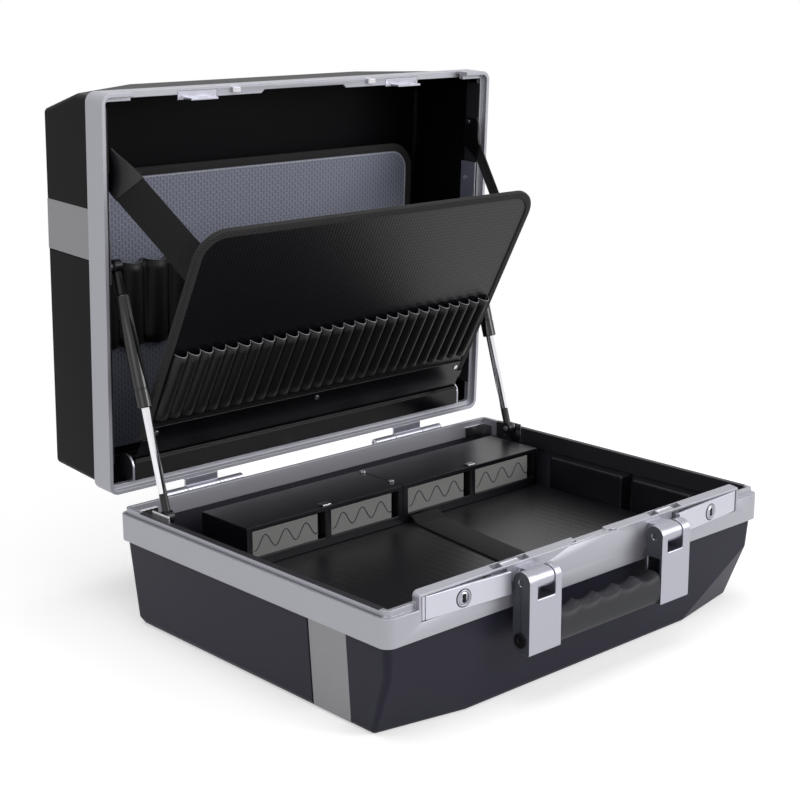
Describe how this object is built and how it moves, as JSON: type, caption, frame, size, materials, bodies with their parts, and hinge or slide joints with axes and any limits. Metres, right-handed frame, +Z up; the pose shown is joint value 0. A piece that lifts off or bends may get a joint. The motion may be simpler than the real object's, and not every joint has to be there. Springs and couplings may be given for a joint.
{
  "type": "hard tool case",
  "caption": "Hard tool case standing open: swept-corner plastic shells in metal frames, tool boards in the lid, small drawers in the base, folding handle and key latches.",
  "frame": {"origin": "centre of the base's flat bottom face, which the case stands on", "axes": "+X to the right of someone facing the handle, +Y towards the hinges, +Z up"},
  "size_m": [0.49, 0.521, 0.5004],
  "materials": {
    "shell": "textured black moulded plastic",
    "frame": "satin anodised",
    "liner": "smooth black",
    "band": "brushed, lacquered",
    "bright_metal": "zinc plated",
    "handle_metal": "silver enamel",
    "dark_metal": "blackened steel",
    "rod": "polished",
    "strut_black": "black enamel",
    "strut_socket": "moulded",
    "grip": "soft-touch moulded",
    "floor": "embossed sheet",
    "board_black": "embossed sheet",
    "board_grey": "embossed sheet",
    "strip": "smooth",
    "webbing": "woven polyester",
    "pocket_cloth": "heavy nylon",
    "housing": "fine-textured moulding",
    "drawer": "satin moulding"
  },
  "bodies": {
    "base": {"base_shell": "shell", "base_frame": "frame", "base_side_liners": "liner", "base_side_bands": "band", "rear_corner_angles": "bright_metal", "hinge_base_leaves": "frame", "hinge_pins": "bright_metal", "strut_base_studs": "bright_metal", "handle_mounts": "handle_metal", "handle_and_latch_pins": "bright_metal", "floor_board": "floor", "floor_strap": "webbing", "wall_blocks": "shell", "drawer_housing_left": "housing", "drawer_housing_right": "housing", "housing_clips": "bright_metal"},
    "lid": {"lid_shell": "shell", "lid_frame": "frame", "lid_side_liners": "liner", "lid_side_bands": "band", "hinge_lid_leaves": "frame", "latch_hooks": "dark_metal", "locating_pegs": "bright_metal", "hook_screws": "bright_metal", "strut_lid_brackets": "bright_metal", "lid_wall_screws": "bright_metal", "strap_anchors": "dark_metal", "strap_left": "webbing", "strap_right": "webbing", "board_rail": "strip", "rail_end_caps": "bright_metal", "rear_board": "board_grey", "rear_binding": "webbing", "rear_pockets": "pocket_cloth", "rear_board_angle": "dark_metal"},
    "tool_board": {"front_board": "board_black", "front_binding": "webbing", "front_pockets": "pocket_cloth", "board_hinge_strip": "strip", "strip_screws": "bright_metal"},
    "handle": {"handle_bracket_left": "handle_metal", "handle_bracket_right": "handle_metal", "handle_grip": "grip", "handle_screws": "dark_metal"},
    "latch_left": {"latch_lever_left": "frame"},
    "latch_right": {"latch_lever_right": "frame"},
    "lock_left": {"lock_plug_left": "bright_metal"},
    "lock_right": {"lock_plug_right": "bright_metal"},
    "rod_left": {"strut_rod_left": "rod", "strut_lower_socket_left": "strut_socket"},
    "rod_right": {"strut_rod_right": "rod", "strut_lower_socket_right": "strut_socket"},
    "tube_left": {"strut_tube_left": "strut_black", "strut_upper_fitting_left": "strut_socket"},
    "tube_right": {"strut_tube_right": "strut_black", "strut_upper_fitting_right": "strut_socket"},
    "drawer_1": {"drawer_1": "drawer"},
    "drawer_2": {"drawer_2": "drawer"},
    "drawer_3": {"drawer_3": "drawer"},
    "drawer_4": {"drawer_4": "drawer"}
  },
  "joints": [
    {"name": "lid_hinge", "type": "hinge", "parent": "base", "child": "lid", "pos_m": [0, 0.201, 0.11], "axis": [1, 0, 0], "range_deg": [0, 87.3]},
    {"name": "board_fold", "type": "hinge", "parent": "lid", "child": "tool_board", "pos_m": [0, 0.20546, 0.15126], "axis": [-1, 0, 0], "range_deg": [0, 31.6], "deforming": ["strap_left", "strap_right"]},
    {"name": "handle_swing", "type": "hinge", "parent": "base", "child": "handle", "pos_m": [0, -0.2025, 0.11], "axis": [-1, 0, 0], "range_deg": [-3, 95]},
    {"name": "latch_left_open", "type": "hinge", "parent": "base", "child": "latch_left", "pos_m": [-0.2045, -0.1867, 0.11], "axis": [0, 0, -1], "range_deg": [-4.5, 35]},
    {"name": "latch_right_open", "type": "hinge", "parent": "base", "child": "latch_right", "pos_m": [0.2045, -0.1867, 0.11], "axis": [0, 0, 1], "range_deg": [-4.5, 35]},
    {"name": "lock_left_turn", "type": "hinge", "parent": "latch_left", "child": "lock_left", "pos_m": [-0.16327, -0.19175, 0.1092], "axis": [-0.0785, -0.9969, 0], "range_deg": [0, 90]},
    {"name": "lock_right_turn", "type": "hinge", "parent": "latch_right", "child": "lock_right", "pos_m": [0.16327, -0.19175, 0.1092], "axis": [0.0785, -0.9969, 0], "range_deg": [0, 90]},
    {"name": "strut_pivot_left", "type": "hinge", "parent": "base", "child": "rod_left", "pos_m": [-0.227, 0.133, 0.115], "axis": [1, 0, 0], "range_deg": [0, 104.81]},
    {"name": "strut_slide_left", "type": "slide", "parent": "rod_left", "child": "tube_left", "axis": [0, -0.2863, -0.9581], "range_m": [0, 0.07313]},
    {"name": "strut_pivot_right", "type": "hinge", "parent": "base", "child": "rod_right", "pos_m": [0.227, 0.133, 0.115], "axis": [1, 0, 0], "range_deg": [0, 104.81]},
    {"name": "strut_slide_right", "type": "slide", "parent": "rod_right", "child": "tube_right", "axis": [0, -0.2863, -0.9581], "range_m": [0, 0.07313]},
    {"name": "drawer_1_slide", "type": "slide", "parent": "base", "child": "drawer_1", "axis": [0, -1, 0], "range_m": [0, 0.058]},
    {"name": "drawer_2_slide", "type": "slide", "parent": "base", "child": "drawer_2", "axis": [0, -1, 0], "range_m": [0, 0.058]},
    {"name": "drawer_3_slide", "type": "slide", "parent": "base", "child": "drawer_3", "axis": [0, -1, 0], "range_m": [0, 0.058]},
    {"name": "drawer_4_slide", "type": "slide", "parent": "base", "child": "drawer_4", "axis": [0, -1, 0], "range_m": [0, 0.058]}
  ],
  "couplings": [
    {"joint": "board_fold", "follows": "lid_hinge", "ratio": 0.36082},
    {"joint": "strut_pivot_left", "follows": "lid_hinge", "ratio": 1.1994},
    {"joint": "strut_slide_left", "follows": "lid_hinge", "m_per_rad": 0.047931},
    {"joint": "strut_pivot_right", "follows": "lid_hinge", "ratio": 1.1994},
    {"joint": "strut_slide_right", "follows": "lid_hinge", "m_per_rad": 0.047931}
  ]
}
